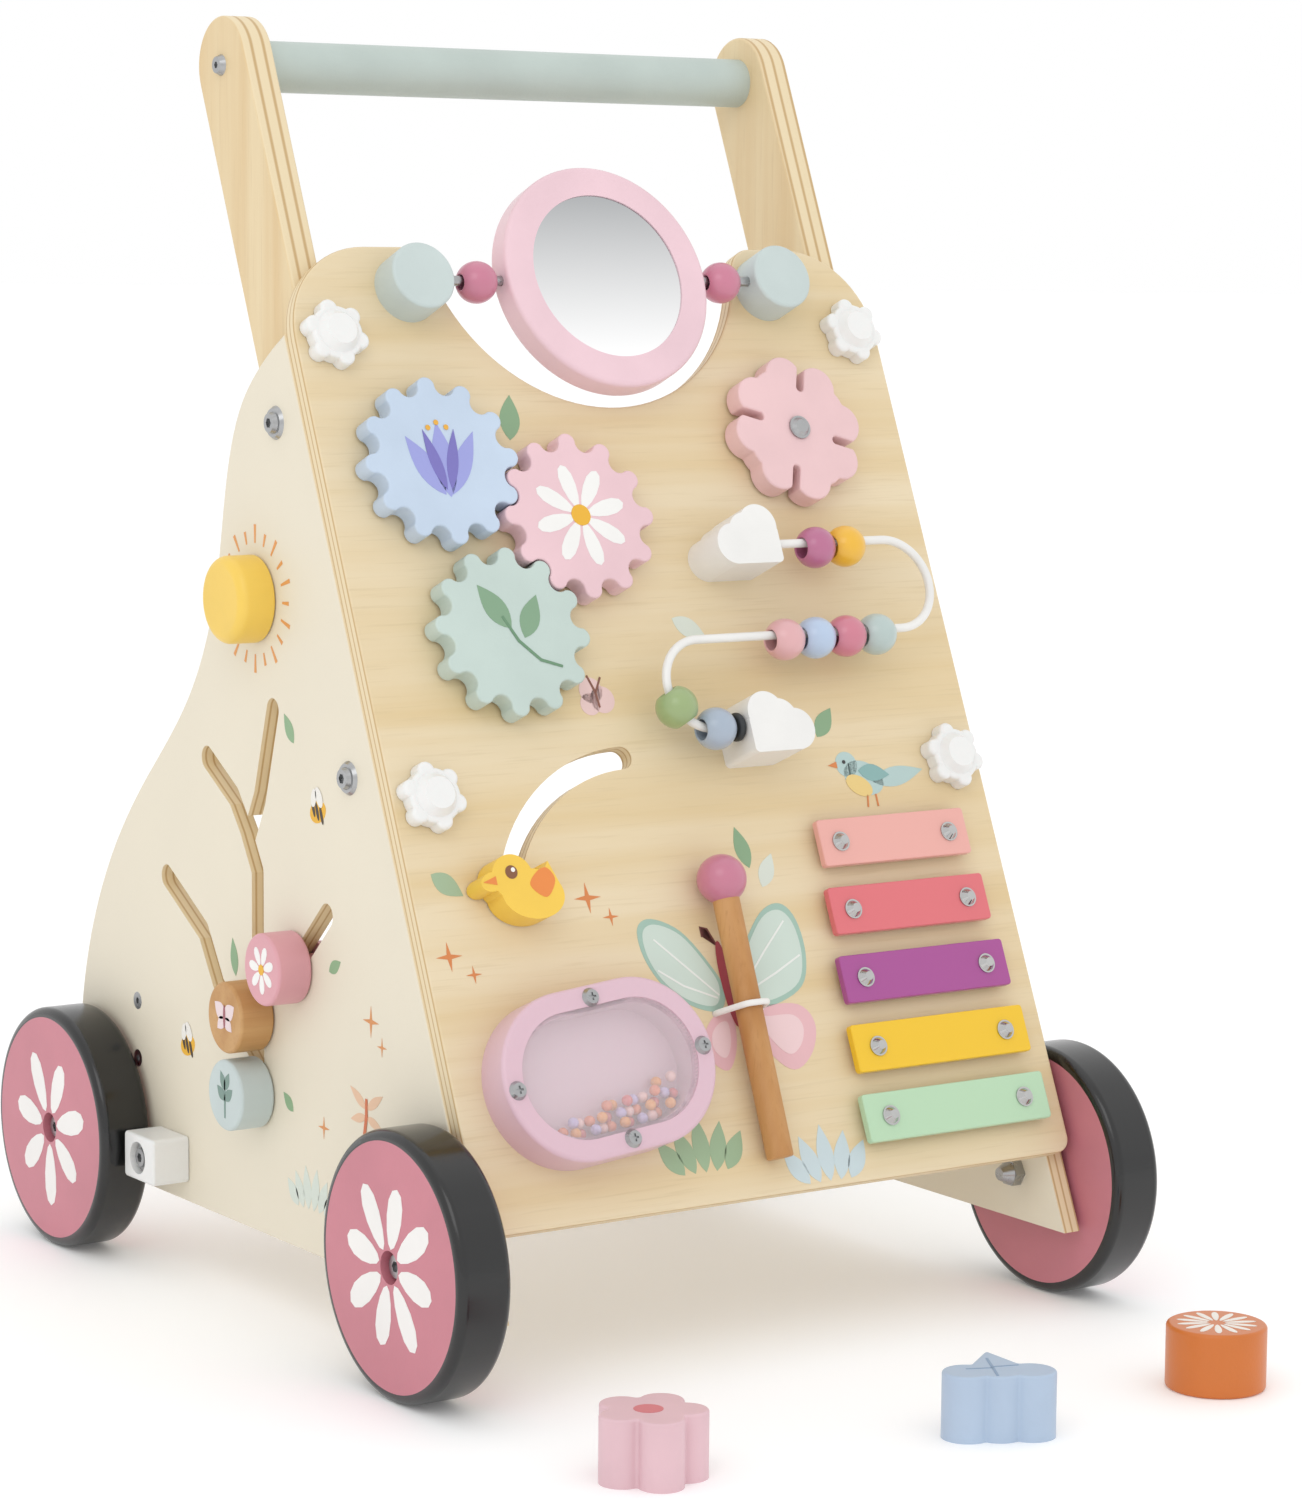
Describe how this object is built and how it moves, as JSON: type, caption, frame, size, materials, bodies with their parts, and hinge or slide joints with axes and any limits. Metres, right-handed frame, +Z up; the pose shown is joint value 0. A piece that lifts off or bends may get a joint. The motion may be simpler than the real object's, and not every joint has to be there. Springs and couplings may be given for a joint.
{
  "type": "baby walker",
  "caption": "Wooden push walker with a leaning activity board: mirror, gears, bead maze, xylophone, bead box, sliding knobs, four wheels and a push handle.",
  "frame": {"origin": "on the floor, half way between the four wheels", "axes": "+X to the right seen from the front, +Y to the back where the child walks, +Z up"},
  "size_m": [0.3228, 0.4942, 0.5035],
  "materials": {
    "arm_wood": "clear matt lacquer",
    "bar_paint": "a colour for each bar",
    "birch_board": "clear matt lacquer",
    "black_ring": "matt",
    "black_tyre": "glossy rubber",
    "block_blue": "satin paint",
    "block_orange": "satin paint",
    "block_pink": "satin paint",
    "blush_bead": "gloss paint",
    "butterfly_wood": "bare wood",
    "chrome": "polished",
    "clear_window": "clear acrylic",
    "cream_paint": "matt paint",
    "crimson_bead": "gloss paint",
    "daisy_paint": "satin paint",
    "duck_paint": "satin paint",
    "elastic": "braided elastic",
    "flower_paint": "satin paint",
    "gear_blue_paint": "satin paint",
    "gear_green_paint": "satin paint",
    "gear_pink_paint": "satin paint",
    "grey_bead": "gloss paint",
    "leaf_bead": "gloss paint",
    "mallet_head_paint": "gloss paint",
    "mallet_wood": "bare wood",
    "mauve_plastic": "fine texture",
    "mirror_face": "polished acrylic mirror",
    "pink_wheel": "satin paint",
    "plum_bead": "gloss paint",
    "ring_pink": "satin paint",
    "rose_bead": "gloss paint",
    "sage_bead": "gloss paint",
    "sage_paint": "satin paint",
    "sky_bead": "gloss paint",
    "small_beads": "mixed colours",
    "sprig_paint": "satin paint",
    "steel": "zinc plated",
    "sun_paint": "satin paint",
    "white_paint": "satin paint",
    "white_plastic": "moulded",
    "white_wire": "powder coated",
    "yellow_bead": "gloss paint"
  },
  "bodies": {
    "root": {"axle_bolts": "steel", "bead_box": "mauve_plastic", "bead_box_beads": "small_beads", "bead_box_window": "clear_window", "bead_wire": "white_wire", "cloud_posts": "white_paint", "front_board": "birch_board", "handle_arm_left": "arm_wood", "handle_arm_right": "arm_wood", "handle_bar": "sage_paint", "mallet_loop": "elastic", "mirror_posts": "sage_paint", "mirror_rod": "steel", "panel_bolts": "steel", "pivot_pins": "steel", "rear_rail": "arm_wood", "side_panel_left": "cream_paint", "side_panel_right": "cream_paint", "star_knobs": "white_plastic", "stop_ring": "black_ring", "wood_screws": "steel", "xylophone_bars": "bar_paint", "xylophone_nails": "chrome"},
    "wheel_front_left": {"wheel_front_left": "pink_wheel", "tyre_front_left": "black_tyre"},
    "wheel_front_right": {"wheel_front_right": "pink_wheel", "tyre_front_right": "black_tyre"},
    "wheel_rear_left": {"wheel_rear_left": "pink_wheel", "tyre_rear_left": "black_tyre"},
    "wheel_rear_right": {"wheel_rear_right": "pink_wheel", "tyre_rear_right": "black_tyre"},
    "brake_left": {"brake_block_left": "white_plastic"},
    "brake_right": {"brake_block_right": "white_plastic"},
    "mirror": {"mirror_ring": "ring_pink", "mirror_glass": "mirror_face"},
    "rod_bead_left": {"rod_bead_left": "crimson_bead"},
    "rod_bead_right": {"rod_bead_right": "crimson_bead"},
    "gear_blue": {"gear_blue": "gear_blue_paint"},
    "gear_pink": {"gear_pink": "gear_pink_paint"},
    "gear_green": {"gear_green": "gear_green_paint"},
    "flower_spinner": {"flower_spinner": "flower_paint"},
    "wire_bead_plum": {"wire_bead_plum": "plum_bead"},
    "wire_bead_yellow": {"wire_bead_yellow": "yellow_bead"},
    "wire_bead_blush": {"wire_bead_blush": "blush_bead"},
    "wire_bead_sky": {"wire_bead_sky": "sky_bead"},
    "wire_bead_rose": {"wire_bead_rose": "rose_bead"},
    "wire_bead_sage": {"wire_bead_sage": "sage_bead"},
    "wire_bead_leaf": {"wire_bead_leaf": "leaf_bead"},
    "wire_bead_grey": {"wire_bead_grey": "grey_bead"},
    "duck": {"duck": "duck_paint"},
    "mallet": {"mallet_head": "mallet_head_paint", "mallet_stick": "mallet_wood"},
    "sun_knob": {"sun_knob": "sun_paint"},
    "tree_knob_daisy": {"tree_knob_daisy": "daisy_paint"},
    "tree_knob_sprig": {"tree_knob_sprig": "sprig_paint"},
    "tree_knob_butterfly": {"tree_knob_butterfly": "butterfly_wood"},
    "sorter_round": {"sorter_round": "block_orange"},
    "sorter_flower": {"sorter_flower": "block_pink"},
    "sorter_leaf": {"sorter_leaf": "block_blue"}
  },
  "joints": [
    {"name": "front_left_wheel_spin", "type": "hinge", "parent": "root", "child": "wheel_front_left", "pos_m": [-0.1505, -0.1391, 0.05], "axis": [1, 0, 0], "continuous": true},
    {"name": "front_right_wheel_spin", "type": "hinge", "parent": "root", "child": "wheel_front_right", "pos_m": [0.1505, -0.1391, 0.05], "axis": [1, 0, 0], "continuous": true},
    {"name": "rear_left_wheel_spin", "type": "hinge", "parent": "root", "child": "wheel_rear_left", "pos_m": [-0.1505, 0.1391, 0.05], "axis": [1, 0, 0], "continuous": true},
    {"name": "rear_right_wheel_spin", "type": "hinge", "parent": "root", "child": "wheel_rear_right", "pos_m": [0.1505, 0.1391, 0.05], "axis": [1, 0, 0], "continuous": true},
    {"name": "left_brake_turn", "type": "hinge", "parent": "root", "child": "brake_left", "pos_m": [-0.145, 0.0742, 0.0485], "axis": [1, 0, 0], "range_deg": [-90, 90]},
    {"name": "right_brake_turn", "type": "hinge", "parent": "root", "child": "brake_right", "pos_m": [0.145, 0.0742, 0.0485], "axis": [1, 0, 0], "range_deg": [-90, 90]},
    {"name": "mirror_turn", "type": "hinge", "parent": "root", "child": "mirror", "pos_m": [0, -0.02862, 0.40215], "axis": [1, 0, 0], "continuous": true},
    {"name": "left_rod_bead_slide", "type": "slide", "parent": "root", "child": "rod_bead_left", "axis": [1, 0, 0], "range_m": [-0.0055, 0.0035]},
    {"name": "right_rod_bead_slide", "type": "slide", "parent": "root", "child": "rod_bead_right", "axis": [1, 0, 0], "range_m": [-0.0035, 0.0055]},
    {"name": "gear_blue_spin", "type": "hinge", "parent": "root", "child": "gear_blue", "pos_m": [-0.0904, -0.05459, 0.33354], "axis": [0, -0.92, 0.392], "continuous": true},
    {"name": "gear_pink_spin", "type": "hinge", "parent": "root", "child": "gear_pink", "pos_m": [-0.0345, -0.06396, 0.31155], "axis": [0, -0.92, 0.392], "continuous": true},
    {"name": "gear_green_spin", "type": "hinge", "parent": "root", "child": "gear_green", "pos_m": [-0.07549, -0.08156, 0.27025], "axis": [0, -0.92, 0.392], "continuous": true},
    {"name": "flower_spin", "type": "hinge", "parent": "root", "child": "flower_spinner", "pos_m": [0.0784, -0.05079, 0.34246], "axis": [0, -0.92, 0.392], "continuous": true},
    {"name": "plum_bead_slide", "type": "slide", "parent": "root", "child": "wire_bead_plum", "axis": [1, 0, 0], "range_m": [-0.0145, 0]},
    {"name": "yellow_bead_slide", "type": "slide", "parent": "root", "child": "wire_bead_yellow", "axis": [1, 0, 0], "range_m": [0, 0.011]},
    {"name": "blush_bead_slide", "type": "slide", "parent": "root", "child": "wire_bead_blush", "axis": [1, 0, 0], "range_m": [-0.034, 0.005]},
    {"name": "sky_bead_slide", "type": "slide", "parent": "root", "child": "wire_bead_sky", "axis": [1, 0, 0], "range_m": [-0.034, 0.005]},
    {"name": "rose_bead_slide", "type": "slide", "parent": "root", "child": "wire_bead_rose", "axis": [1, 0, 0], "range_m": [-0.034, 0.005]},
    {"name": "sage_bead_slide", "type": "slide", "parent": "root", "child": "wire_bead_sage", "axis": [1, 0, 0], "range_m": [-0.034, 0.005]},
    {"name": "leaf_bead_travel", "type": "hinge", "parent": "root", "child": "wire_bead_leaf", "pos_m": [0.0025, -0.10035, 0.24912], "axis": [0, -0.92, 0.392], "range_deg": [-85, 0]},
    {"name": "grey_bead_slide", "type": "slide", "parent": "root", "child": "wire_bead_grey", "axis": [1, 0, 0], "range_m": [0, 0.001]},
    {"name": "duck_travel", "type": "hinge", "parent": "root", "child": "duck", "pos_m": [-0.0314, -0.12712, 0.16334], "axis": [0, -0.92, 0.392], "range_deg": [-70, 0]},
    {"name": "mallet_slide", "type": "slide", "parent": "root", "child": "mallet", "axis": [-0.0102, 0.3577, 0.9338], "range_m": [0, 0.035]},
    {"name": "sun_spin", "type": "hinge", "parent": "root", "child": "sun_knob", "pos_m": [-0.1445, 0.0031, 0.28], "axis": [1, 0, 0], "continuous": true},
    {"name": "daisy_knob_slide", "type": "slide", "parent": "root", "child": "tree_knob_daisy", "axis": [0, -0.7248, 0.6889], "range_m": [0, 0.033]},
    {"name": "sprig_knob_slide", "type": "slide", "parent": "root", "child": "tree_knob_sprig", "axis": [0, 0, 1], "range_m": [-0.004, 0.054]},
    {"name": "butterfly_knob_slide", "type": "slide", "parent": "root", "child": "tree_knob_butterfly", "axis": [0, 0, 1], "range_m": [-0.004, 0.054]},
    {"name": "round_piece_lift", "type": "slide", "parent": "root", "child": "sorter_round", "axis": [0, 0, 1], "range_m": [0, 0.12]},
    {"name": "flower_piece_lift", "type": "slide", "parent": "root", "child": "sorter_flower", "axis": [0, 0, 1], "range_m": [0, 0.12]},
    {"name": "leaf_piece_lift", "type": "slide", "parent": "root", "child": "sorter_leaf", "axis": [0, 0, 1], "range_m": [0, 0.12]}
  ],
  "couplings": [
    {"joint": "gear_blue_spin", "follows": "gear_pink_spin", "ratio": -1},
    {"joint": "gear_green_spin", "follows": "gear_pink_spin", "ratio": -1},
    {"joint": "sky_bead_slide", "follows": "blush_bead_slide", "ratio": 1},
    {"joint": "rose_bead_slide", "follows": "blush_bead_slide", "ratio": 1},
    {"joint": "sage_bead_slide", "follows": "blush_bead_slide", "ratio": 1},
    {"joint": "butterfly_knob_slide", "follows": "sprig_knob_slide", "ratio": 1}
  ]
}
